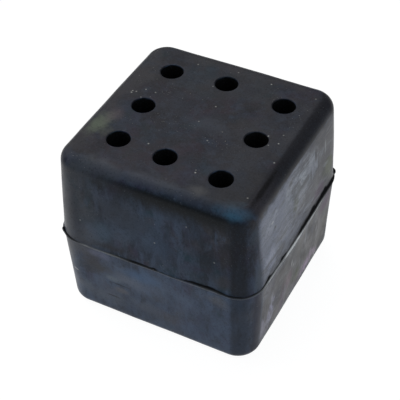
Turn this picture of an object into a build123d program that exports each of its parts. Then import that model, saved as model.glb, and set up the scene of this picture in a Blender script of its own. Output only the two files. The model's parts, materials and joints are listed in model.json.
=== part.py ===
"""Rubber buffer: a square moulded block with a ring of eight blind holes in its top face."""

import os
from math import atan2, copysign, cos, degrees, radians, sin

from build123d import *

# Driving dimensions, in millimetres and degrees.
# The block stands on z = 0 with the z axis up through its middle.
block_width = 92.0  # across both pairs of walls, at the parting line, where they are furthest apart
corner_radius = 11.8  # of the four upright corners, at the parting line

# Each mould half has its own height, draft and edge radius. The walls lean in away from the parting line.
lower_height = 40.0
lower_draft = 2.8
bottom_edge_radius = 4.4
upper_height = 43.7
upper_draft = 3.3
top_edge_radius = 6.3

# Bead along the parting line: worn mould lips leave a ridge with a long slope above and a short one below.
bead_reach = 0.6
bead_rise = 1.5
bead_fall = 0.8

# Flash tabs: scraps of rubber that stand out of the bead at two opposite corners.
tab_radius = 2.4
tab_thickness = 1.0
tab_reach = {38.0: 1.3, 222.0: 0.9}  # direction out of the corner, and how far it stands past the wall

# Blind holes left by round core pins on a square pitch, with none in the middle.
hole_diameter = 9.8
hole_pitch = 25.0
hole_depth = 60.0
hole_rim = 0.3

# Each pin's column and row, and how far it had drifted off the pitch in X and in Y.
pin_drift = {
    (-1, 1): (-0.8, -0.7),
    (0, 1): (-1.1, 1.7),
    (1, 1): (1.7, -1.4),
    (1, 0): (0.6, -0.6),
    (1, -1): (-1.6, -2.4),
    (0, -1): (-2.0, -0.6),
    (-1, -1): (1.0, 0.9),
    (-1, 0): (-0.5, -1.1),
}

parting_plane = Plane.XY.offset(lower_height)
top_plane = parting_plane.offset(upper_height)
bead_width = block_width + 2 * bead_reach
corner_middle = block_width / 2 - corner_radius  # of each corner's arc, out from the block's middle in X and Y
hole_centres = [
    (column * hole_pitch + drift_x, row * hole_pitch + drift_y)
    for (column, row), (drift_x, drift_y) in pin_drift.items()
]


def tab_centre(direction, reach):
    """Middle of a tab's disc, set so that the disc's edge comes out past the corner by its reach."""
    along_x, along_y = cos(radians(direction)), sin(radians(direction))
    out = corner_radius + reach - tab_radius
    return copysign(corner_middle, along_x) + out * along_x, copysign(corner_middle, along_y) + out * along_y



with BuildPart() as rubber_block:
    # Upper half: walls that lean in going up, and a softly rounded top edge.
    with BuildSketch(parting_plane) as parting_outline:
        RectangleRounded(block_width, block_width, corner_radius)
    extrude(amount=upper_height, taper=upper_draft)
    fillet(faces().sort_by(Axis.Z)[-1].edges(), top_edge_radius)

    # Lower half: the same outline, leaning in going down to a plain flat underside.
    extrude(parting_outline.sketch, amount=-lower_height, taper=lower_draft)
    fillet(faces().sort_by(Axis.Z)[0].edges(), bottom_edge_radius)

    # Bead: two thin tapered layers, back to back, that run out into the walls.
    with BuildSketch(parting_plane) as bead_outline:
        RectangleRounded(bead_width, bead_width, corner_radius + bead_reach)
    extrude(amount=bead_rise, taper=degrees(atan2(bead_reach, bead_rise)))
    extrude(bead_outline.sketch, amount=-bead_fall, taper=degrees(atan2(bead_reach, bead_fall)))

    # Flash tabs: thin discs, sunk in the corners so that only an edge shows.
    with BuildSketch(parting_plane):
        with Locations(*[tab_centre(direction, reach) for direction, reach in tab_reach.items()]):
            Circle(tab_radius)
    extrude(amount=tab_thickness / 2, both=True)

    # Blind holes, flat at the bottom and softened at the rim.
    with BuildSketch(top_plane):
        with Locations(*hole_centres):
            Circle(hole_diameter / 2)
    extrude(amount=-hole_depth, mode=Mode.SUBTRACT)
    rims = edges().filter_by(GeomType.CIRCLE).filter_by(lambda edge: edge.is_closed).group_by(Axis.Z)[-1]
    chamfer(rims, hole_rim)
rubber_block.part.label = "rubber_block"

os.makedirs("parts", exist_ok=True)
export_step(rubber_block.part, "parts/rubber_block.step")
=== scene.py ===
import json
from math import radians, tan

import bmesh
import bpy
import numpy as np
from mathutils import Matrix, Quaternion, Vector


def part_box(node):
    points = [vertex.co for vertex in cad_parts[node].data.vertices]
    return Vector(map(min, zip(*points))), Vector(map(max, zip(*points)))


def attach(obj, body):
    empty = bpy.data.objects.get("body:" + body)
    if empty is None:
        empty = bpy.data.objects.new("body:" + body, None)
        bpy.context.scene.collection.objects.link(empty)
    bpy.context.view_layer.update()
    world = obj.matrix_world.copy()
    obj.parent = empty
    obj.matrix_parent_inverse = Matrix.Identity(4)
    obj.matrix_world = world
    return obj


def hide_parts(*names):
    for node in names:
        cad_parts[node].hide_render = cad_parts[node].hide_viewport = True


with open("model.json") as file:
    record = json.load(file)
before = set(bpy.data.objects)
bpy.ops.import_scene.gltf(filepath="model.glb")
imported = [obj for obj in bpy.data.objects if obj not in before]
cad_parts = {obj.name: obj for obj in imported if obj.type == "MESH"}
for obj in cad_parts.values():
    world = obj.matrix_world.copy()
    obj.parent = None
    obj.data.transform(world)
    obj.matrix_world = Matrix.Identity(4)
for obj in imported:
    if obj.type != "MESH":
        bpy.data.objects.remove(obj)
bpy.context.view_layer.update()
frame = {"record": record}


# ======================================================================
# RUBBER BLOCK: SHAPE
# One solid block of black rubber, pressed in a single shot between two
# mould halves. The halves met at mid height and left a worn, uneven bead
# there, and round core pins left eight blind holes in the top.
# ======================================================================

mm = 0.001
block_high = np.array(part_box("rubber_block")[1])  # its greatest X, Y and Z
block_height = block_high[2]
bead_stand = 0.6 * mm            # how far the bead's crest stands out of the walls
wall_half = block_high[0] - bead_stand  # middle of the block to a wall, at the parting line
corner_radius = 11.8 * mm        # of the upright corners, at the parting line
corner_middle = wall_half - corner_radius  # centre of each corner's arc, in X and Y
parting_height = 40.0 * mm
lower_draft, upper_draft = radians(2.8), radians(3.3)
bottom_edge_radius, top_edge_radius = 4.4 * mm, 6.3 * mm

cell_steps = 40                  # mesh steps along one side of a cell of the top
arc_steps = 18                   # mesh steps along half a corner
side_steps = 3 * cell_steps      # mesh steps along one quarter of the outline


def rounded_outline():
    """Walks once round the block, anticlockwise from the middle of the front right corner.

    Each quarter is half a corner, a straight wall and half a corner. Returns, for every point, the
    centre that its offset is measured from, which slides along the straight walls and stands still
    at the corners, the outward direction there, and the distance walked from the middle of the
    right wall, at the size of the parting line.
    """
    straight_steps = side_steps - 2 * arc_steps
    turn = np.concatenate([
        np.linspace(-45, 0, arc_steps, endpoint=False),
        np.zeros(straight_steps),
        np.linspace(0, 45, arc_steps, endpoint=False),
    ])
    slide = np.concatenate([
        -np.ones(arc_steps),
        np.linspace(-1, 1, straight_steps, endpoint=False),
        np.ones(arc_steps),
    ])
    quarter = np.repeat(np.arange(4), side_steps) * np.pi / 2
    angle = np.radians(np.tile(turn, 4)) + quarter
    across, along = corner_middle, np.tile(slide, 4) * corner_middle
    centre = np.stack([
        np.cos(quarter) * across - np.sin(quarter) * along,
        np.sin(quarter) * across + np.cos(quarter) * along,
    ], axis=-1)
    outward = np.stack([np.cos(angle), np.sin(angle)], axis=-1)
    quarter_length = 2 * corner_middle + corner_radius * np.pi / 2
    walked = (np.tile(slide, 4) * corner_middle + np.radians(np.tile(turn, 4)) * corner_radius
              + np.repeat(np.arange(4), side_steps) * quarter_length)
    return centre, outward, walked, 4 * quarter_length


def waves(points, seed, longest, shortest, count=14):
    """Smooth unevenness between -1 and 1: a sum of sine waves with random directions and lengths,
    held inside those limits by a hyperbolic tangent."""
    rng = np.random.default_rng(seed)
    direction = rng.normal(size=(count, 3))
    direction /= np.linalg.norm(direction, axis=1, keepdims=True)
    length = np.geomspace(longest, shortest, count)
    phase = rng.uniform(0, 2 * np.pi, count)
    weight = length / length.sum()
    total = (np.sin(points @ (direction * 2 * np.pi / length[:, None]).T + phase) * weight).sum(-1)
    return np.tanh(2.5 * total)


def smooth_step(value, start, end):
    """0 before start, 1 after end, and 3t^2 - 2t^3 between them."""
    t = np.clip((value - start) / (end - start), 0, 1)
    return t * t * (3 - 2 * t)


centre, outward, walked, way_round = rounded_outline()

# The bead by stations round the block, each one a wall and the distance along it from its middle,
# going anticlockwise. The columns are the crest's height off the parting line, how far it stands
# out, how tall its upper and lower slopes are, and how hollow the wall is just above it.
quarter_round = way_round / 4
bead_stations = np.array([
    # wall, along, crest, stand, rise, fall, hollow
    (0, -34.0, 0.5, 0.50, 0.9, 0.9, 0.00),
    (0, -22.0, -0.1, 0.50, 1.0, 1.3, 0.00),
    (0, -10.0, -0.9, 0.58, 1.6, 2.6, 0.10),
    (0, 2.0, -1.1, 0.60, 3.0, 3.2, 0.32),
    (0, 14.0, -0.9, 0.60, 3.6, 3.0, 0.38),
    (0, 24.0, -0.2, 0.60, 3.4, 1.6, 0.32),
    (0, 34.0, 0.2, 0.55, 3.0, 1.0, 0.25),
    (1, -34.0, 0.2, 0.55, 1.6, 0.9, 0.10),
    (1, -12.0, -0.2, 0.50, 2.4, 1.4, 0.15),
    (1, 12.0, 0.1, 0.55, 2.6, 1.8, 0.20),
    (1, 34.0, 0.3, 0.45, 1.2, 1.0, 0.05),
    (2, -30.0, 0.1, 0.50, 1.0, 1.0, 0.00),
    (2, -8.0, -0.3, 0.55, 1.8, 1.6, 0.10),
    (2, 14.0, 0.0, 0.50, 2.2, 1.4, 0.15),
    (2, 34.0, 0.2, 0.55, 1.2, 0.9, 0.05),
    (3, -38.0, 0.2, 0.60, 1.0, 0.9, 0.00),
    (3, -26.0, 0.1, 0.55, 1.0, 0.9, 0.00),
    (3, -8.0, 0.4, 0.35, 1.2, 0.9, 0.05),
    (3, 7.0, 0.3, 0.40, 1.0, 0.9, 0.00),
    (3, 20.0, 0.9, 0.45, 1.6, 1.4, 0.20),
    (3, 34.0, 0.9, 0.50, 1.6, 1.2, 0.20),
    (3, 42.0, 0.3, 0.50, 1.2, 0.9, 0.05),
])
station_walk = bead_stations[:, 0] * quarter_round + bead_stations[:, 1] * mm
bead_crest, bead_reach, bead_rise, bead_fall, wall_hollow = (
    np.interp(walked, station_walk, column * mm, period=way_round)
    for column in bead_stations[:, 2:].T
)
outline_at_parting = centre + outward * corner_radius
flat_walk = np.column_stack([outline_at_parting, np.zeros(len(walked))])
crest_wander = 0.22 * mm         # up and down
reach_wander = 0.16              # in and out, as a share of the reach
bead_crest = bead_crest + crest_wander * waves(flat_walk, 5, 30 * mm, 5 * mm)
bead_reach = bead_reach * (1 + reach_wander * waves(flat_walk, 6, 18 * mm, 4 * mm))
bead_reach = np.clip(bead_reach, 0, bead_stand)

# Flash tabs: scraps of rubber that stand out of the bead at two opposite corners.
# The columns are the direction out of the corner, half the width, the reach and the upward curl.
heading = np.degrees(np.arctan2(outward[:, 1], outward[:, 0])) % 360
flash_tabs = [(38.0, 9.0, 0.8, 0.2), (222.0, 7.5, 0.45, 0.8)]
tab_reach, tab_curl = np.zeros(len(walked)), np.zeros(len(walked))
for direction, half_width, reach, curl in flash_tabs:
    across_tab = np.clip(1 - ((heading - direction) / half_width) ** 2, 0, 1) ** 0.6
    tab_reach += across_tab * reach * mm
    tab_curl += across_tab * curl * mm

# The profile, as rows from the middle of the underside, up the wall and over the top edge. Each
# row has an offset from the outline's centres, a height, and the tilt of its surface.
bottom_rows = np.array([0.25, 0.5, 0.75, 0.92])
bead_rows = np.array([
    -5.0, -4.2, -3.6, -3.1, -2.6, -2.2, -1.8, -1.45, -1.15, -0.9, -0.7, -0.52, -0.38, -0.25, -0.12,
    0.0, 0.12, 0.25, 0.38, 0.52, 0.7, 0.9, 1.15, 1.45, 1.8, 2.2, 2.6, 3.1, 3.6, 4.2, 5.0,
]) * mm
bottom_tilt = np.linspace(-np.pi / 2, -lower_draft, 9)
top_tilt = np.linspace(upper_draft, np.pi / 2, 13)
bottom_arc_middle = (corner_radius - (parting_height - bottom_edge_radius) * np.tan(lower_draft)
                     - bottom_edge_radius / np.cos(lower_draft))
top_arc_middle = (corner_radius - (block_height - top_edge_radius - parting_height) * np.tan(upper_draft)
                  - top_edge_radius / np.cos(upper_draft))
bottom_arc_z = bottom_edge_radius * (1 + np.sin(bottom_tilt))
top_arc_z = block_height - top_edge_radius * (1 - np.sin(top_tilt))
lower_wall_z = np.linspace(bottom_arc_z[-1], parting_height + bead_rows[0], 13)[1:-1]
upper_wall_z = np.linspace(parting_height + bead_rows[-1], top_arc_z[0], 14)[1:-1]
row_z = np.concatenate([
    np.zeros(len(bottom_rows)), bottom_arc_z, lower_wall_z, parting_height + bead_rows,
    upper_wall_z, top_arc_z,
])
row_tilt = np.concatenate([
    np.full(len(bottom_rows), -np.pi / 2), bottom_tilt, np.full(len(lower_wall_z), -lower_draft),
    np.where(bead_rows < 0, -lower_draft, upper_draft), np.full(len(upper_wall_z), upper_draft), top_tilt,
])
above_parting = row_z - parting_height
wall_offset = corner_radius - np.where(
    above_parting > 0, above_parting * tan(upper_draft), -above_parting * tan(lower_draft))
first_wall_row = len(bottom_rows) + len(bottom_tilt)
last_wall_row = len(row_z) - len(top_tilt)
row_offset = wall_offset.copy()
row_offset[len(bottom_rows):first_wall_row] = bottom_arc_middle + bottom_edge_radius * np.cos(bottom_tilt)
row_offset[last_wall_row:] = top_arc_middle + top_edge_radius * np.cos(top_tilt)

# Rows near the parting line follow the crest up and down, and the rest stay level. Above the bead
# the wall is hollow for a stretch, and the tabs are thin, with their middle a little above the line.
follow_fully, follow_no_more = 5 * mm, 16 * mm
hollow_full, hollow_gone = 6 * mm, 20 * mm
tab_middle, tab_full, tab_gone = 0.1 * mm, 0.35 * mm, 0.75 * mm
follows = 1 - smooth_step(np.abs(above_parting), follow_fully, follow_no_more)
height = row_z[:, None] + follows[:, None] * bead_crest
off_crest = above_parting[:, None] + np.zeros(len(walked))
up_slope = np.clip(1 - off_crest / bead_rise, 0, 1) ** 2
down_slope = 0.5 - 0.5 * np.cos(np.pi * np.clip(1 + off_crest / bead_fall, 0, 1))
slope = np.where(off_crest >= 0, up_slope, down_slope)
hollow = wall_hollow * np.where(off_crest >= 0, 1 - smooth_step(off_crest, hollow_full, hollow_gone), 0)
on_crest = np.where(off_crest >= 0, up_slope, 1)
tab_edge = 1 - smooth_step(np.abs(off_crest - tab_middle), tab_full, tab_gone)
offset = (row_offset[:, None] - hollow * (1 - on_crest) + slope * bead_reach + tab_edge * tab_reach)
height = height + tab_edge * tab_curl

rings = centre + outward * offset[..., None]
rings[:len(bottom_rows)] = (centre + outward * bottom_arc_middle) * bottom_rows[:, None, None]
shell = np.concatenate([rings, height[..., None]], axis=-1)


broad_swell, small_swell, top_sink = 0.16, 0.035, 0.12  # how far the faces go in and out, in mm


def settle(points, outward_x, outward_y, tilt, keep=1.0):
    """Moves points along their surface by a little unevenness, so that no face is dead flat.

    The walls go in and out, the top only sinks, and the underside stays flat.
    """
    swell = (waves(points, 11, 70 * mm, 18 * mm) * broad_swell
             + waves(points, 12, 16 * mm, 6 * mm) * small_swell)
    level = np.where(tilt < 0, np.cos(tilt), 1.0)
    sink = np.clip(np.sin(tilt), 0, 1)
    move = (swell * level * (1 - 0.4 * sink) - top_sink * sink) * mm * keep
    return points + np.stack([
        outward_x * np.cos(tilt) * move, outward_y * np.cos(tilt) * move, np.sin(tilt) * move], axis=-1)


calm = smooth_step(np.abs(above_parting), 0.5 * mm, 6 * mm)[:, None]
shell = settle(shell, outward[:, 0], outward[:, 1], row_tilt[:, None] + np.zeros(len(walked)), calm)

# Marks that the surface reads: painted shade in the crease above the crest, and a painted highlight on
# the crest itself, which is partly rubbed pale. The columns are the wall, the distance along it, how
# far above the crest the crease starts and ends, all in mm, and how bright the crest's highlight is.
line_stations = np.array([
    # wall, along, start, end, pale
    (0, -38.0, 0.30, 0.8, 0.15),
    (0, -34.0, 0.40, 1.8, 0.45),
    (0, -30.0, 0.40, 3.2, 0.60),
    (0, -27.5, 0.45, 1.4, 0.60),
    (0, -22.0, 0.40, 0.8, 0.60),
    (0, -20.0, 0.40, 0.8, 0.80),
    (0, -17.5, 0.45, 2.6, 0.90),
    (0, -14.5, 0.50, 2.2, 1.20),
    (0, -12.5, 0.45, 0.9, 1.80),
    (0, -9.0, 0.45, 0.8, 2.10),
    (0, -4.0, 0.45, 0.9, 2.10),
    (0, -1.0, 0.40, 1.8, 1.60),
    (0, 4.0, 0.35, 2.6, 0.90),
    (0, 10.0, 0.30, 2.7, 0.60),
    (0, 18.0, 0.25, 3.0, 0.50),
    (0, 26.0, 0.20, 3.1, 0.15),
    (0, 34.0, 0.10, 2.3, 0.05),
    (0, 40.0, 0.10, 0.9, 0.05),
    (1, -34.0, 0.20, 1.2, 0.10),
    (1, 0.0, 0.20, 1.0, 0.15),
    (1, 34.0, 0.20, 1.2, 0.10),
    (2, -34.0, 0.20, 0.8, 0.10),
    (2, 0.0, 0.20, 1.0, 0.15),
    (2, 34.0, 0.20, 0.8, 0.10),
    (3, -41.0, 0.15, 1.0, 0.03),
    (3, -36.0, 0.15, 0.6, 0.05),
    (3, -33.0, 0.20, 0.4, 0.06),
    (3, -30.0, 0.30, 0.4, 0.22),
    (3, -25.0, 0.30, 0.4, 0.30),
    (3, -20.0, 0.25, 0.5, 0.22),
    (3, -14.0, 0.15, 0.6, 0.10),
    (3, -8.0, 0.00, 0.9, 0.04),
    (3, 0.0, 0.00, 1.0, 0.05),
    (3, 2.5, 0.00, 1.3, 0.05),
    (3, 4.0, 0.20, 0.4, 0.05),
    (3, 12.0, 0.20, 0.4, 0.05),
    (3, 17.0, 0.20, 0.8, 0.03),
    (3, 22.0, 0.15, 1.5, 0.03),
    (3, 27.0, 0.10, 1.5, 0.10),
    (3, 32.0, 0.10, 1.2, 0.03),
    (3, 36.0, 0.10, 0.7, 0.02),
    (3, 42.0, 0.15, 0.8, 0.05),
])
line_walk = line_stations[:, 0] * quarter_round + line_stations[:, 1] * mm
crease_start, crease_end, crest_highlight_level = (
    np.interp(walked, line_walk, column, period=way_round) for column in line_stations[:, 2:].T)
crease_end = crease_end * (1 + 0.30 * waves(flat_walk, 21, 12 * mm, 1.6 * mm))
crest_highlight_level = crest_highlight_level * (1 + 0.45 * waves(flat_walk, 22, 14 * mm, 1.6 * mm))
above_crest = off_crest / mm
# Painted shade in the crease above the crest, then a painted highlight on the crest itself.
crease_shade = smooth_step(above_crest - crease_start, -0.10, 0.12) * (
    1 - smooth_step(above_crest / crease_end, 0.75, 1.25))
pale_middle, pale_width = 0.08, 0.36  # of the crest's painted highlight, partly rubbed pale, in mm above the crest
crest_highlight = np.clip(np.exp(-((above_crest - pale_middle) / pale_width) ** 2) * crest_highlight_level, 0, 1)
shell_marks = np.stack([crease_shade, crest_highlight, np.zeros(crease_shade.shape)], axis=-1)

# The top inside the edge: a band to a square, then nine square cells, with a hole in each but the
# middle one. The holes' places come from the record's openings.
cell_edges = np.array([-34.0, -12.5, 12.5, 34.0]) * mm
hole_radius, hole_depth, rim_radius = 4.9 * mm, 60.0 * mm, 0.45 * mm
along_side = np.interp(np.arange(side_steps) / cell_steps, np.arange(4), cell_edges)
side_quarter = np.repeat(np.arange(4), side_steps) * np.pi / 2
square_along, square_across = np.tile(along_side, 4), cell_edges[-1]
square = np.stack([
    np.cos(side_quarter) * square_across - np.sin(side_quarter) * square_along,
    np.sin(side_quarter) * square_across + np.cos(side_quarter) * square_along,
], axis=-1)


def on_top(flat):
    """Points of the top face at these X and Y, sunk by the same unevenness as the rest."""
    points = np.concatenate([flat, np.full(flat.shape[:-1] + (1,), block_height)], axis=-1)
    upward = np.full(flat.shape[:-1], np.pi / 2)
    return settle(points, 0.0, 0.0, upward)


patch_points, patch_marks, patch_quads, patch_triangles = [], [], [], []


def add_patch(points, marks=None, closed=True, start_pole=None, end_pole=None):
    """Adds a grid of points as faces: four-sided ones between neighbouring rows and columns.

    A closed grid joins its last column to its first. A pole closes the first or last row with
    triangles to one middle point. Marks are three numbers a point: painted shade in the crease,
    painted highlight on the crest and depth in a hole.
    """
    rows, columns = points.shape[:2]
    first = sum(len(made) for made in patch_points)
    number = first + np.arange(rows * columns).reshape(rows, columns)
    if closed:
        number = np.concatenate([number, number[:, :1]], axis=1)
    patch_points.append(points.reshape(-1, 3))
    patch_marks.append(np.zeros((rows * columns, 3)) if marks is None else marks.reshape(-1, 3))
    patch_quads.append(np.stack(
        [number[:-1, :-1], number[:-1, 1:], number[1:, 1:], number[1:, :-1]], axis=-1).reshape(-1, 4))
    last = first + rows * columns
    for pole, ring, row in ((start_pole, number[0, ::-1], 0), (end_pole, number[-1], -1)):
        if pole is not None:
            patch_marks.append(patch_marks[-1].reshape(rows, columns, 3)[row, :1])
            patch_points.append(np.array([pole], dtype=float))
            patch_triangles.append(np.stack([ring[:-1], ring[1:], np.full(len(ring) - 1, last)], axis=-1))
            last += 1


def cell_border(west, east, south, north):
    """A cell's four sides, anticlockwise from its front right corner, in even steps."""
    step = np.arange(cell_steps) / cell_steps
    to_north, to_west = south + (north - south) * step, east + (west - east) * step
    to_south, to_east = north + (south - north) * step, west + (east - west) * step
    return np.concatenate([
        np.stack([np.full(cell_steps, east), to_north], axis=-1),
        np.stack([to_west, np.full(cell_steps, north)], axis=-1),
        np.stack([np.full(cell_steps, west), to_south], axis=-1),
        np.stack([to_east, np.full(cell_steps, south)], axis=-1),
    ])


add_patch(shell, shell_marks, start_pole=(0, 0, 0))

top_edge = shell[-1, :, :2]
band = np.array([0.0, 0.35, 0.7, 1.0])[:, None, None]
add_patch(np.concatenate([shell[-1:], on_top((top_edge * (1 - band) + square * band)[1:])]))

# Each hole: out to its cell's border, a rounded rim, a straight wall, and a flat end.
rim_turn = np.linspace(0, np.pi / 2, 6)
reach_in = np.array([0.0, 0.16, 0.32, 0.48, 0.63, 0.77, 0.9])[:, None, None]
hole_angle = np.radians(-45) + np.arange(4 * cell_steps) * 2 * np.pi / (4 * cell_steps)
round_hole = np.stack([np.cos(hole_angle), np.sin(hole_angle)], axis=-1)
wall_depth = np.array([1.5, 4.0, 10.0, 25.0, 45.0, 59.4, 60.0]) * mm
end_radius = np.array([0.97, 0.6, 0.3]) * hole_radius
end_depth = hole_depth + 0.1 * mm  # the end is dished a little

for opening in frame["record"]["physics"]["openings"]:
    low, high = np.array(opening["box_m"])
    hole_middle = (low + high)[:2] / 2
    column, row = np.searchsorted(cell_edges, hole_middle) - 1
    border = cell_border(*cell_edges[column:column + 2], *cell_edges[row:row + 2])
    rim_edge = hole_middle + round_hole * (hole_radius + rim_radius)
    flat = on_top(border * (1 - reach_in) + rim_edge * reach_in)
    sunk_radius = np.concatenate([
        hole_radius + rim_radius * (1 - np.sin(rim_turn)),
        np.full(len(wall_depth), hole_radius), end_radius])
    depth = np.concatenate([
        rim_radius * (1 - np.cos(rim_turn)), wall_depth, np.full(len(end_radius), end_depth)])
    sunk = on_top(hole_middle + round_hole * sunk_radius[:, None, None])
    sunk[..., 2] -= depth[:, None]
    hole_points = np.concatenate([flat, sunk])
    hole_marks = np.zeros(hole_points.shape)
    hole_marks[len(flat):, :, 2] = depth[:, None] / mm
    add_patch(hole_points, hole_marks, end_pole=(*hole_middle, sunk[-1, :, 2].mean()))

middle_step = np.linspace(cell_edges[1], cell_edges[2], cell_steps + 1)
add_patch(on_top(np.stack(np.meshgrid(middle_step, middle_step), axis=-1)), closed=False)

block_mesh = bpy.data.meshes.new("moulded_block")
block_mesh.from_pydata(
    np.concatenate(patch_points).tolist(), [],
    np.concatenate(patch_quads).tolist() + np.concatenate(patch_triangles).tolist())
marks = block_mesh.attributes.new("marks", "FLOAT_VECTOR", "POINT")
marks.data.foreach_set("vector", np.concatenate(patch_marks).ravel())
welded = bmesh.new()
welded.from_mesh(block_mesh)
bmesh.ops.remove_doubles(welded, verts=welded.verts, dist=0.001 * mm)
welded.to_mesh(block_mesh)
welded.free()
block_mesh.shade_smooth()
block_mesh.set_sharp_from_angle(angle=radians(62))
moulded_block = bpy.data.objects.new("moulded_block", block_mesh)
bpy.context.collection.objects.link(moulded_block)

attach(moulded_block, "root")
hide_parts("rubber_block")


# ======================================================================
# RUBBER BLOCK: SURFACE
# Black rubber as it left the mould: a dull skin with a faint blue-grey
# bloom, cloudy stains, and pale rubbed streaks along the right wall. A
# little dust lies on the top. Light is painted into the colour too: a bluish
# tint on the walls, a sheen on the right wall, the floor's reflection on the
# lower half, highlights on the front top edge and the crest, and shade in
# the edges, the crease and the holes.
# ======================================================================

def add_node(tree, kind, inputs=None, **settings):
    """Adds a node. Inputs are values to set on its sockets, or other nodes' outputs to link there."""
    made = tree.nodes.new(kind)
    for name, value in settings.items():
        setattr(made, name, value)
    for name, value in (inputs or {}).items():
        if isinstance(value, bpy.types.NodeSocket):
            tree.links.new(value, made.inputs[name])
        else:
            made.inputs[name].default_value = value
    return made


rubber = bpy.data.materials.new("black_rubber")
rubber.use_nodes = True
tree = rubber.node_tree
tree.nodes.clear()
place = add_node(tree, "ShaderNodeTexCoord").outputs["Object"]
facing = add_node(tree, "ShaderNodeSeparateXYZ", {
    "Vector": add_node(tree, "ShaderNodeNewGeometry").outputs["Normal"]}).outputs
where = add_node(tree, "ShaderNodeSeparateXYZ", {"Vector": place}).outputs
crease_shade, crest_highlight_mark, hole_depth_mark = add_node(tree, "ShaderNodeSeparateXYZ", {
    "Vector": add_node(tree, "ShaderNodeAttribute", attribute_name="marks").outputs["Vector"]}).outputs


def cloud(scale, detail=4.0, roughness=0.6, distortion=0.3, vector=place):
    """Soft random clouds, about one over the scale metres across."""
    return add_node(tree, "ShaderNodeTexNoise", {
        "Vector": vector, "Scale": scale, "Detail": detail, "Roughness": roughness,
        "Distortion": distortion}).outputs


def three_clouds(scale, **how):
    """Three separate clouds of one size."""
    return add_node(tree, "ShaderNodeSeparateColor", {"Color": cloud(scale, **how)["Color"]}).outputs


def fade(value, start, end, low=0.0, high=1.0):
    """Low before start and high after end, with a smooth change between."""
    return add_node(tree, "ShaderNodeMapRange", {
        "Value": value, "From Min": start, "From Max": end, "To Min": low, "To Max": high,
    }, interpolation_type="SMOOTHSTEP").outputs["Result"]


def work(operation, *values):
    """One sum on numbers or other nodes' outputs, such as MULTIPLY or MAXIMUM."""
    return add_node(tree, "ShaderNodeMath", dict(enumerate(values)), operation=operation).outputs[0]


def times(*amounts):
    """All these amounts multiplied together."""
    product = amounts[0]
    for amount in amounts[1:]:
        product = work("MULTIPLY", product, amount)
    return product


def tint(under, over, amount):
    """One colour laid over another, by an amount from 0 to 1."""
    under, over = (value if isinstance(value, bpy.types.NodeSocket) else (*value, 1.0)
                   for value in (under, over))
    return add_node(tree, "ShaderNodeMix", {0: amount, 6: under, 7: over}, data_type="RGBA").outputs[2]


# The bare skin: neutral on the top and the right edge, and bluer on the walls, where the bluish light that
# falls on them is painted in.
forward = times(facing["Y"], -1.0)
blue_light_on_walls = work(
    "MAXIMUM", fade(work("ABSOLUTE", facing["Y"]), 0.05, 0.60), fade(facing["Z"], 0.30, 0.06))
colour = tint((0.0190, 0.0182, 0.0238), (0.0290, 0.0425, 0.0720), blue_light_on_walls)
# Painted reflection: a pale bluish band on the upper part of the front top edge, stronger to the left.
front_edge_highlight = times(fade(facing["Z"], 0.38, 0.66), fade(forward, 0.10, 0.34))
colour = tint(colour, (0.048, 0.056, 0.074), times(
    front_edge_highlight, fade(where["X"], -25 * mm, 20 * mm, 0.95, 0.55)))
broad, stain, blotch = three_clouds(19.0, detail=3.0), three_clouds(48.0), three_clouds(95.0, detail=5.0)
calm_top = fade(facing["Z"], 0.35, 0.85, 1.0, 0.45)  # the darkest stains show less on the top
for mask, start, end, shade, strength in [
    (broad[0], 0.56, 0.34, (0.003, 0.006, 0.012), 0.60),
    (broad[1], 0.48, 0.70, (0.030, 0.040, 0.062), 0.70),
    (stain[0], 0.50, 0.63, (0.007, 0.031, 0.045), 0.80),
    (stain[1], 0.50, 0.63, (0.030, 0.022, 0.048), 0.75),
    (stain[2], 0.51, 0.64, (0.038, 0.032, 0.031), 0.65),
    (blotch[0], 0.52, 0.70, (0.050, 0.062, 0.088), 0.60),
]:
    colour = tint(colour, shade, times(calm_top, fade(mask, start, end, 0.0, strength)))
on_top_face = fade(facing["Z"], 0.80, 0.98)
film = three_clouds(62.0, detail=6.0, roughness=0.66, distortion=0.5)
for mask, start, end, shade, strength in [
    (film[0], 0.48, 0.66, (0.017, 0.024, 0.038), 0.80),
    (film[1], 0.50, 0.68, (0.028, 0.018, 0.027), 0.70),
    (film[2], 0.50, 0.68, (0.013, 0.013, 0.017), 0.70),
]:
    colour = tint(colour, shade, times(on_top_face, fade(mask, start, end, 0.0, strength)))

# Mottling: short smears, upright on the walls.
smeared = add_node(tree, "ShaderNodeMapping", {
    "Vector": place, "Scale": (210.0, 210.0, 80.0)}).outputs["Vector"]
mottle = three_clouds(1.0, detail=6.0, roughness=0.68, vector=smeared)
calm_mottle = fade(facing["Z"], 0.35, 0.85, 1.0, 0.22)
colour = tint(colour, (0.010, 0.014, 0.023), times(calm_mottle, fade(mottle[0], 0.55, 0.40, 0.0, 0.88)))
colour = tint(colour, (0.052, 0.074, 0.116), times(calm_mottle, fade(mottle[1], 0.47, 0.62, 0.0, 0.68)))

# Where the right wall is: above the parting line its rubbing and painted sheen run on round the front
# corner, a little further near the top, and below the line they end with the flat.
on_upper = fade(where["Z"], 39.5 * mm, 40.5 * mm)
film_from = work("ADD", facing["X"], fade(where["Z"], 54 * mm, 72 * mm, -0.010, 0.006))
on_right = work("MAXIMUM", fade(facing["X"], 0.9950, 0.9994), times(
    on_upper, fade(facing["Z"], 0.19, 0.09), fade(film_from, 0.956, 1.010)))

# Bloom and painted reflection: a pale dull film on the lower half, partly bloom and partly a painted
# reflection of the bright floor below, missing from the right wall, where it is rubbed off.
off_right = times(
    fade(facing["X"], 0.05, 0.50, 1.0, 0.35), fade(facing["X"], 0.74, 0.94, 1.0, 0.1))
below = fade(where["Z"], parting_height + 0.6 * mm, parting_height - 1.5 * mm)
bloom_and_reflection = times(
    fade(cloud(60.0, detail=6.0, roughness=0.7)[0], 0.34, 0.62, 0.30, 1.0),
    fade(mottle[2], 0.36, 0.62, 0.55, 1.35))
bloom_and_reflection_strength = 0.60
colour = tint(colour, (0.073, 0.104, 0.168), times(bloom_and_reflection, below, off_right, bloom_and_reflection_strength))


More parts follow.
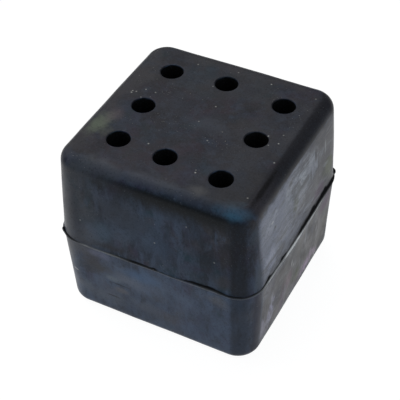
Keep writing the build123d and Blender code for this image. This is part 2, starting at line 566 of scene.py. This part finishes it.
def stains_and_painted_light(under, places, uneven=2.6, core=0.0):
    """Lays ragged stains, and painted highlights and shade, over a colour: each has a middle and a spread
    in mm, a colour and a strength.

    The distance from the middle is measured in spreads and made uneven by clouds. A stain is whole
    where that is less than its core, and gone where it passes 1.15 spreads.
    """
    gone = 1.15
    for middle, spread, shade, strength in places:
        shifted = add_node(tree, "ShaderNodeVectorMath", {
            0: place, 1: [number * mm for number in middle]}, operation="SUBTRACT").outputs[0]
        scaled = add_node(tree, "ShaderNodeVectorMath", {
            0: shifted, 1: [1 / (number * mm) for number in spread]}, operation="MULTIPLY").outputs[0]
        away = add_node(tree, "ShaderNodeVectorMath", {0: scaled}, operation="LENGTH").outputs["Value"]
        ragged = work("ADD", away, times(work("SUBTRACT", blotch[1], 0.5), uneven))
        under = tint(under, shade, fade(ragged, gone, core, 0.0, strength))
    return under


# Stains that sit in one place, on the front wall and on the top, with a few painted highlights,
# reflections and shade among them, each marked.
colour = stains_and_painted_light(colour, [
    ((-4, -46, 32), (10, 9, 6), (0.036, 0.100, 0.205), 0.80),
    ((-12, -46, 27), (13, 9, 4), (0.130, 0.140, 0.165), 0.70),
    ((-22, -46, 51), (7, 9, 6), (0.010, 0.054, 0.062), 0.80),
    ((-12, -46, 64), (15, 9, 9), (0.026, 0.021, 0.020), 0.80),
    ((-28, -46, 54), (6, 9, 14), (0.036, 0.042, 0.052), 0.75),
    ((-17, -46, 44.5), (12, 9, 2.6), (0.012, 0.010, 0.010), 0.75),
    ((-28, -46, 33), (8, 9, 8), (0.036, 0.036, 0.058), 0.60),
    ((6, -46, 57), (5, 9, 12), (0.024, 0.042, 0.070), 0.60),
    # painted shade: darkens the right half of the front wall's upper part
    ((24, -46, 58), (12, 9, 16), (0.004, 0.010, 0.020), 0.80),
    ((34, -45, 60), (6, 9, 8), (0.022, 0.018, 0.020), 0.60),
    ((33, -46, 47), (7, 9, 4), (0.036, 0.030, 0.034), 0.60),
    ((4, -46, 12), (16, 9, 7), (0.070, 0.055, 0.050), 0.50),
    ((-38, -46, 55), (9, 7, 32), (0.080, 0.084, 0.098), 0.85),
    ((-34, -46, 58), (3.5, 9, 14), (0.006, 0.012, 0.026), 0.80),
    ((-28, -46, 48.5), (4, 9, 4), (0.084, 0.078, 0.074), 0.80),
    ((-45, -42, 22), (4, 6, 6), (0.050, 0.100, 0.090), 0.60),
    ((31, -46, 35), (6, 9, 4), (0.110, 0.110, 0.120), 0.50),
    ((40, -44, 36), (6, 6, 5), (0.014, 0.040, 0.080), 0.60),
    ((24, -37, 84), (18, 7, 6), (0.013, 0.014, 0.019), 0.60),
    ((-14, 6, 84), (12, 9, 6), (0.026, 0.029, 0.042), 0.60),
    # painted highlight: a blue glint on the top edge at the front corner
    ((36, -42, 81.3), (9, 5, 3.6), (0.036, 0.092, 0.146), 0.90),
    ((-38, 0, 84), (9, 60, 6), (0.040, 0.038, 0.042), 0.80),
    ((0, 40, 84), (50, 8, 6), (0.038, 0.036, 0.040), 0.80),
    ((36, -24, 84), (10, 16, 6), (0.014, 0.014, 0.016), 0.50),
    ((-36, -18, 82), (7, 10, 9), (0.098, 0.120, 0.086), 0.85),
    ((-33, -12, 84), (5, 7, 9), (0.085, 0.062, 0.078), 0.50),
    ((3, -1, 84), (13, 6, 9), (0.040, 0.046, 0.062), 0.60),
    ((18, -37, 83), (5, 3, 9), (0.100, 0.100, 0.100), 0.50),
    ((38, 12, 84), (7, 30, 6), (0.036, 0.036, 0.042), 0.70),
    # painted reflection: a paler bluish band along the front top edge
    ((-24, -42, 81), (20, 6, 6), (0.056, 0.062, 0.074), 0.70),
    ((-34, -46, 60), (14, 9, 32), (0.060, 0.060, 0.066), 0.50),
    ((-4, -46, 60), (22, 9, 22), (0.042, 0.066, 0.104), 0.50),
    ((0, -46, 29), (26, 9, 12), (0.104, 0.132, 0.190), 0.50),
    # painted reflection: a paler bluish line along the front top edge
    ((0, -40.3, 83), (24, 3, 3), (0.052, 0.058, 0.074), 0.60),
    ((26, -4, 84), (16, 34, 6), (0.036, 0.036, 0.042), 0.50),
    ((0, 26, 84), (34, 16, 6), (0.036, 0.036, 0.040), 0.50),
    ((-2, -46, 13), (9, 9, 8), (0.085, 0.110, 0.160), 0.50),
    ((-25, -46, 29), (9, 9, 6), (0.034, 0.034, 0.038), 0.85),
    ((-22, -46, 37.5), (7, 9, 2.5), (0.115, 0.122, 0.180), 0.80),
    ((45, -37.7, 50), (3, 3, 10), (0.050, 0.066, 0.088), 0.80),
    ((42, -40, 77), (4, 4, 2), (0.004, 0.006, 0.010), 0.70),
    ((-19, -46, 51), (18, 9, 7), (0.058, 0.080, 0.118), 0.80),
    ((-22, -45, 13), (16, 9, 9), (0.104, 0.120, 0.148), 0.65),
    # painted highlight: a small blue glint at the front corner's top edge
    ((38, -39, 82.3), (5, 4, 1.1), (0.050, 0.080, 0.120), 0.60),
])

# Flow marks near the bottom of the front wall, where two fronts of rubber met in the mould: two thin
# dark lines, nearly level, with paler rubber above and between them.
colour = stains_and_painted_light(colour, [
    ((-19, -45, 24.3), (5, 9, 2.2), (0.125, 0.150, 0.175), 0.70),
    ((-15, -45, 18.5), (4.5, 9, 2.4), (0.115, 0.112, 0.122), 0.70),
    ((-15.5, -45, 21.9), (5.5, 9, 0.6), (0.018, 0.024, 0.034), 0.80),
    ((-20.4, -45, 21.2), (0.9, 9, 1.3), (0.018, 0.024, 0.034), 0.60),
    ((-20, -45, 12.7), (4.5, 9, 0.7), (0.018, 0.022, 0.030), 0.80),
], uneven=0.8, core=0.3)

# The right wall is painted pale all over, partly rubbing and partly a painted sheen of light across it,
# most of all above the parting line and to the front, with patches and streaks. Some rise to the
# back, and some are steep.
rubbed_and_sheen = tint((0.055, 0.056, 0.066), (0.180, 0.200, 0.265), fade(where["Y"], 25 * mm, -25 * mm))
rubbed_and_sheen_low = tint((0.006, 0.008, 0.014), (0.034, 0.038, 0.066), fade(where["Y"], -8 * mm, -30 * mm))
rubbed_and_sheen = tint(rubbed_and_sheen, rubbed_and_sheen_low, work("SUBTRACT", 1.0, on_upper))
rubbed_and_sheen = tint(rubbed_and_sheen, (0.055, 0.048, 0.060), times(
    fade(where["Y"], 20 * mm, 0.0), fade(where["Z"], 22 * mm, 10 * mm, 0.0, 0.7)))
rubbed_and_sheen = stains_and_painted_light(rubbed_and_sheen, [
    ((45, 2, 67), (9, 20, 10), (0.320, 0.345, 0.400), 0.85),
    ((45, -27, 51), (9, 8, 8), (0.350, 0.370, 0.465), 0.85),
    ((45, -27, 67), (9, 8, 6), (0.330, 0.350, 0.420), 0.70),
    ((45, -3, 59), (9, 3, 5), (0.040, 0.055, 0.014), 0.80),
    ((45, 3, 67), (9, 8, 8), (0.430, 0.460, 0.510), 0.85),
    ((45, 31, 52), (9, 8, 8), (0.060, 0.078, 0.030), 0.80),
    ((45, 23, 46), (9, 7, 5), (0.070, 0.036, 0.080), 0.80),
    ((45, 17, 30), (9, 5, 5), (0.040, 0.050, 0.080), 0.80),
    ((45, 29, 32), (9, 8, 7), (0.040, 0.002, 0.044), 1.0),
    ((45, 31, 18), (9, 5, 9), (0.014, 0.012, 0.003), 0.90),
    ((45, 24, 21), (9, 2, 9), (0.090, 0.085, 0.095), 0.75),
    ((45, 9, 25), (9, 4, 7), (0.080, 0.085, 0.100), 0.75),
    ((44, 14, 8), (9, 10, 5), (0.400, 0.290, 0.400), 1.0),
    ((45, 0, 13), (9, 5, 5), (0.016, 0.036, 0.000), 1.0),
    ((45, -8, 18), (9, 6, 6), (0.080, 0.030, 0.060), 0.85),
    ((45, -15, 12), (9, 6, 6), (0.024, 0.000, 0.040), 1.0),
    ((45, -25, 17), (9, 4, 10), (0.310, 0.300, 0.440), 0.90),
    ((45, -31, 14), (9, 6, 9), (0.210, 0.200, 0.280), 0.85),
    ((45, -18, 31), (9, 7, 6), (0.000, 0.001, 0.008), 1.00),
    ((45, -30, 29), (9, 6, 6), (0.006, 0.012, 0.040), 0.80),
    ((45, 13, 18), (9, 4, 9), (0.120, 0.115, 0.120), 0.80),
], core=0.35)
rubbed_and_sheen = tint(rubbed_and_sheen, (0.001, 0.001, 0.003), times(below, fade(mottle[0], 0.52, 0.40, 0.0, 0.75)))
rubbed_and_sheen = tint(rubbed_and_sheen, (0.160, 0.160, 0.190), times(below, fade(mottle[1], 0.52, 0.66, 0.0, 0.35)))

# Streaks, each kind with its slope, its scale across and along, and how it fades in. They are weaker
# below the parting line.
streaked = times(
    work("MAXIMUM", fade(where["Z"], 39 * mm, 41 * mm), fade(where["Y"], 5 * mm, -22 * mm, 0.16, 0.50)),
    fade(broad[2], 0.42, 0.58, 0.45, 1.0))
for rise, stretch, start, end, shade, strength in [
    (-30, (40.0, 45.0, 110.0), 0.52, 0.38, (0.040, 0.042, 0.050), 0.75),
    (-36, (40.0, 60.0, 190.0), 0.50, 0.66, (0.260, 0.275, 0.320), 0.75),
    (-46, (40.0, 110.0, 480.0), 0.52, 0.74, (0.340, 0.350, 0.370), 0.50),
    (-56, (40.0, 90.0, 420.0), 0.50, 0.36, (0.010, 0.011, 0.014), 0.50),
    (-62, (40.0, 150.0, 620.0), 0.56, 0.76, (0.400, 0.410, 0.420), 0.50),
]:
    along = add_node(tree, "ShaderNodeMapping", {
        "Vector": place, "Rotation": (radians(rise), 0, 0), "Scale": stretch}).outputs["Vector"]
    streak = cloud(1.0, detail=6.0, roughness=0.7, distortion=0.6, vector=along)[0]
    rubbed_and_sheen = tint(rubbed_and_sheen, shade, times(fade(streak, start, end, 0.0, strength), streaked))

# Small marks on the right wall: dark and pale scratches and nicks.
rubbed_and_sheen = stains_and_painted_light(rubbed_and_sheen, [
    ((45, -23, 63), (9, 1.2, 1.0), (0.000, 0.000, 0.002), 1.00),
    ((44, 17, 69), (9, 1.3, 4.5), (0.000, 0.004, 0.014), 1.00),
    ((45, 20, 62), (9, 1.1, 5.0), (0.008, 0.010, 0.020), 0.90),
    ((45, 12, 62), (9, 1.0, 5.0), (0.020, 0.024, 0.034), 0.70),
    ((45, 27, 66), (9, 1.0, 5.0), (0.340, 0.350, 0.360), 0.60),
    ((45, -25, 67), (9, 1.4, 0.6), (0.700, 0.700, 0.700), 0.80),
    ((45, -5, 26), (9, 0.6, 2.6), (0.500, 0.500, 0.500), 0.80),
    ((45, -3, 23), (9, 0.6, 2.2), (0.450, 0.450, 0.450), 0.80),
    ((45, 9, 27), (9, 1.2, 3.5), (0.260, 0.270, 0.290), 0.70),
    ((45, 22, 23), (9, 1.2, 3.5), (0.240, 0.240, 0.260), 0.70),
    ((45, -25, 24), (9, 1.6, 6.0), (0.230, 0.230, 0.290), 0.70),
], uneven=0.8)

# The rubbing and painted sheen end just under the top edge, along an uneven line that falls towards the
# front.
wandering = work("ADD", where["Z"], times(work("SUBTRACT", blotch[1], 0.5), 9 * mm))
wandering = work("ADD", wandering, fade(where["Y"], 5 * mm, -26 * mm, 0, 2.5 * mm))
on_right = times(on_right, fade(wandering, 80 * mm, 77.5 * mm))
colour = tint(colour, rubbed_and_sheen, on_right)

# Edges and holes get painted shade, so they are the darkest: dark bands that stand for the dim room
# seen in the rounded edges, painted into the colour: a line under the top edge of the front wall, the
# front wall's side of the front corner, the right edge, and the right wall's side of the corner below
# the parting line.
under_edge_shade = times(
    fade(where["Z"], 69 * mm, 77.5 * mm), fade(where["Z"], 81.5 * mm, 79.2 * mm),
    fade(where["X"], -42 * mm, 5 * mm, 0.10, 1.0), fade(where["X"], 30 * mm, 41 * mm, 1.0, 0.30),
    fade(forward, 0.35, 0.80))
colour = tint(colour, (0.002, 0.004, 0.006), under_edge_shade)
corner_shade = times(
    fade(facing["X"], 0.03, 0.28), fade(facing["X"], 0.86, 0.60), fade(facing["Z"], 0.50, 0.15),
    fade(forward, 0.2, 0.5), fade(where["Z"], 39 * mm, 41 * mm, 0.50, 0.85))
colour = tint(colour, (0.003, 0.005, 0.009), corner_shade)
edge_shade_colour = tint((0.0180, 0.0180, 0.0215), (0.038, 0.035, 0.041), fade(where["Y"], -10 * mm, -32 * mm))
right_edge_shade = times(
    fade(facing["X"], 0.10, 0.30), fade(facing["X"], 0.998, 0.988), fade(forward, 0.45, 0.10),
    fade(facing["Z"], 0.08, 0.20), 0.85)
colour = tint(colour, edge_shade_colour, right_edge_shade)
low_corner_shade = times(
    fade(facing["X"], 0.80, 0.93), fade(facing["X"], 0.996, 0.980), below,
    fade(forward, 0.02, 0.14, 0.0, 0.85))
colour = tint(colour, (0.000, 0.003, 0.022), low_corner_shade)

# A dark line of painted shade inside the right edge of the top, and a pale scrape at the left front
# corner.
colour = stains_and_painted_light(colour, [
    ((40.2, -23, 83.3), (1.3, 15, 9), (0.005, 0.005, 0.005), 0.75),
    ((-38, -44, 21), (1.6, 4, 0.5), (0.500, 0.500, 0.500), 0.80),
], uneven=0.8, core=0.3)

# The holes are painted black a little way in, as painted shade. Fine grain covers everything, then come
# the painted shade in the crease and the painted highlight on the crest, partly rubbed pale, along the
# parting line.
colour = tint(colour, (0.0030, 0.0030, 0.0030), fade(hole_depth_mark, 0.15, 0.90))
grain = three_clouds(1300.0, detail=3.0, roughness=0.6, distortion=0.0)
colour = tint(colour, (0.0, 0.0, 0.0), fade(grain[0], 0.50, 0.25, 0.0, 0.45))
colour = tint(colour, (0.075, 0.088, 0.110), fade(grain[1], 0.50, 0.75, 0.0, 0.16))
# painted shade in the crease above the bead
colour = tint(colour, (0.0015, 0.0015, 0.0020), times(crease_shade, 0.97))
# painted highlight on the bead's crest, partly rubbed pale
colour = tint(colour, (0.800, 0.800, 0.780), crest_highlight_mark)

# Dust: small pale specks, mostly on the top. Each kind has its number of cells to a metre, its reach
# in cells, how it gathers in clouds, and its brightness.
for size, reach, start, end, brightness in [
    (240.0, 0.060, 0.50, 0.60, 0.85), (430.0, 0.085, 0.52, 0.62, 0.70), (900.0, 0.14, 0.50, 0.66, 0.45),
]:
    speck = add_node(tree, "ShaderNodeTexVoronoi", {"Vector": place, "Scale": size}).outputs["Distance"]
    dust = times(fade(speck, reach, reach * 0.3), fade(cloud(70.0, detail=2.0)[0], start, end))
    dust = times(dust, fade(facing["Z"], -0.2, 0.9, 0.35 * brightness, brightness))
    colour = tint(colour, (0.50, 0.50, 0.46), dust)

# Larger specks, fallen by chance: over the top, in a loose cluster near its left edge, and a few on
# the front wall. The seed keeps them in the same places, each with its middle just under the skin.
fallen = np.random.default_rng(4)
scattered = fallen.uniform(-39, 39, (18, 2)) * mm
gathered = fallen.normal((-32, 6), 3, (6, 2)) * mm
on_face = np.concatenate([scattered, gathered])
on_face = np.column_stack([on_face, np.full(len(on_face), block_height - 0.2 * mm)])
along_front = fallen.uniform(-35, 35, 4) * mm
up_front = fallen.uniform(45, 75, 4) * mm
front_wall = wall_half - (up_front - parting_height) * tan(upper_draft)
on_front = np.column_stack([along_front, -front_wall, up_front])
speck_reach = 0.5 * mm
for middle in np.concatenate([on_face, on_front]).tolist():
    brightness = 0.22 + 0.28 * fallen.random() ** 2
    away = add_node(tree, "ShaderNodeVectorMath", {
        0: place, 1: middle}, operation="DISTANCE").outputs["Value"]
    colour = tint(colour, (0.62, 0.62, 0.57), fade(away, speck_reach, 0.3 * speck_reach, 0.0, brightness))

# Gloss and fine relief: the skin has a dull sheen, and the crease and the holes are matt.
grain_height, scuff_height = 0.02 * mm, 0.06 * mm
rubber_ior = 1.20                # under that of clean rubber, since the bloom dulls the shine
roughness = work("MAXIMUM", fade(blotch[2], 0.3, 0.7, 0.30, 0.42), times(crease_shade, 0.95))
roughness = work("MAXIMUM", roughness, fade(hole_depth_mark, 0.15, 0.90, 0.0, 0.8))
scuff = cloud(240.0, detail=5.0, roughness=0.6)[0]
fine_bump = add_node(tree, "ShaderNodeBump", {
    "Height": grain[2], "Strength": 0.5, "Distance": grain_height})
bump = add_node(tree, "ShaderNodeBump", {
    "Height": scuff, "Strength": 0.5, "Distance": scuff_height, "Normal": fine_bump.outputs["Normal"]})
skin = add_node(tree, "ShaderNodeBsdfPrincipled", {
    "Base Color": colour, "Roughness": roughness, "IOR": rubber_ior, "Normal": bump.outputs["Normal"]})
add_node(tree, "ShaderNodeOutputMaterial", {"Surface": skin.outputs["BSDF"]})
block_mesh.materials.append(rubber)


# ======================================================================
# FLOOR
# A wide sheet of white paper under the block. It is white near the block,
# and falls off to the dim room far from it.
# ======================================================================

floor_half = 8.0                 # metres, middle to edge
floor_drop = 0.05 * mm           # below the block, so that the two never touch
white_to, dim_from = 0.21, 0.45  # metres from the middle: white inside the first, dim past the second
white_glow, dim_glow = 0.95, 0.35

floor_mesh = bpy.data.meshes.new("paper_floor")
floor_mesh.from_pydata([
    (-floor_half, -floor_half, 0), (floor_half, -floor_half, 0),
    (floor_half, floor_half, 0), (-floor_half, floor_half, 0)], [], [(0, 1, 2, 3)])
floor = bpy.data.objects.new("paper_floor", floor_mesh)
floor.location.z = -floor_drop
bpy.context.collection.objects.link(floor)

paper = bpy.data.materials.new("white_paper")
paper.use_nodes = True
tree = paper.node_tree
tree.nodes.clear()
rays = add_node(tree, "ShaderNodeLightPath").outputs
seen = add_node(tree, "ShaderNodeMath", {
    0: rays["Is Camera Ray"], 1: rays["Is Glossy Ray"]}, operation="MAXIMUM")
seen = add_node(tree, "ShaderNodeMath", {
    0: seen.outputs[0], 1: rays["Is Transmission Ray"]}, operation="MAXIMUM")
lit = add_node(tree, "ShaderNodeBsdfDiffuse", {"Color": (0.8, 0.8, 0.8, 1)})
faint = add_node(tree, "ShaderNodeBsdfDiffuse", {"Color": (0.13, 0.13, 0.13, 1)})
from_block = add_node(tree, "ShaderNodeVectorMath", {
    0: add_node(tree, "ShaderNodeTexCoord").outputs["Object"]}, operation="LENGTH").outputs["Value"]
falling_off = add_node(tree, "ShaderNodeMapRange", {
    "Value": from_block, "From Min": white_to, "From Max": dim_from,
    "To Min": white_glow, "To Max": dim_glow,
}, interpolation_type="SMOOTHSTEP").outputs["Result"]
glow = add_node(tree, "ShaderNodeEmission", {"Color": (1, 1, 1, 1), "Strength": falling_off})
white = add_node(tree, "ShaderNodeAddShader", {0: faint.outputs[0], 1: glow.outputs[0]})
mixed = add_node(tree, "ShaderNodeMixShader", {0: seen.outputs[0], 1: lit.outputs[0], 2: white.outputs[0]})
add_node(tree, "ShaderNodeOutputMaterial", {"Surface": mixed.outputs[0]})
floor_mesh.materials.append(paper)


# ======================================================================
# LIGHT
# A dim room with a pale ceiling, a broad soft lamp overhead, and a
# bluish window to the front.
# ======================================================================

bright_side = Vector((-0.55, 0.25, 0.80)).normalized()  # where the middle of the ceiling lies
ceiling_edge, ceiling_full = 0.66, 0.86  # cosines of the angle away from it
room_glow, ceiling_glow = 0.16, 1.15

room = bpy.data.worlds.new("studio")
room.use_nodes = True
tree = room.node_tree
tree.nodes.clear()
direction = add_node(tree, "ShaderNodeTexCoord").outputs["Generated"]
upward = add_node(tree, "ShaderNodeVectorMath", {
    0: direction, 1: bright_side}, operation="DOT_PRODUCT").outputs["Value"]
ceiling = add_node(tree, "ShaderNodeMapRange", {
    "Value": upward, "From Min": ceiling_edge, "From Max": ceiling_full,
    "To Min": room_glow, "To Max": ceiling_glow,
}, interpolation_type="SMOOTHSTEP").outputs["Result"]
glow = add_node(tree, "ShaderNodeBackground", {"Color": (1.0, 1.0, 1.0, 1.0), "Strength": ceiling})
add_node(tree, "ShaderNodeOutputWorld", {"Surface": glow.outputs[0]})
bpy.context.scene.world = room


def soft_lamp(name, azimuth, elevation, distance, width, height, brightness, colour):
    """A flat lamp that faces the block. Its power is pi times its area times its brightness."""
    light = bpy.data.lights.new(name, "AREA")
    light.shape, light.size, light.size_y = "RECTANGLE", width, height
    light.energy = np.pi * width * height * brightness
    light.color = colour
    lamp = bpy.data.objects.new(name, light)
    turn, rise = radians(azimuth), radians(elevation)
    towards = Vector((np.cos(turn) * np.cos(rise), np.sin(turn) * np.cos(rise), np.sin(rise)))
    lamp.location = towards * distance
    lamp.rotation_mode = "QUATERNION"
    lamp.rotation_quaternion = towards.to_track_quat("Z", "Y")
    bpy.context.collection.objects.link(lamp)


# Each lamp's heading and height in degrees, distance, width and height in metres, and brightness.
soft_lamp("overhead_lamp", 140, 66, 1.2, 0.8, 0.8, 1.5, (1.0, 1.0, 1.0))
soft_lamp("window_lamp", -98, 12, 1.1, 1.2, 0.30, 1.0, (0.60, 0.80, 1.0))
soft_lamp("fill_lamp", -25, 32, 1.1, 1.0, 0.90, 1.0, (0.72, 0.86, 1.0))


# ======================================================================
# CAMERA
# Above the front right corner, looking down at the middle of the block.
# ======================================================================

camera_place = (0.16909, -0.31395, 0.37516)
aim = Vector((0.00046, -0.00242, 0.04178))
camera_roll = radians(1.53)

camera_data = bpy.data.cameras.new("camera")
camera_data.lens, camera_data.sensor_width = 102.25, 36.0
camera = bpy.data.objects.new("camera", camera_data)
bpy.context.collection.objects.link(camera)
camera.location = camera_place
forward = (aim - camera.location).normalized()
camera.rotation_mode = "QUATERNION"
camera.rotation_quaternion = Quaternion(forward, camera_roll) @ forward.to_track_quat("-Z", "Y")
bpy.context.scene.camera = camera
bpy.context.scene.view_settings.view_transform = "Standard"
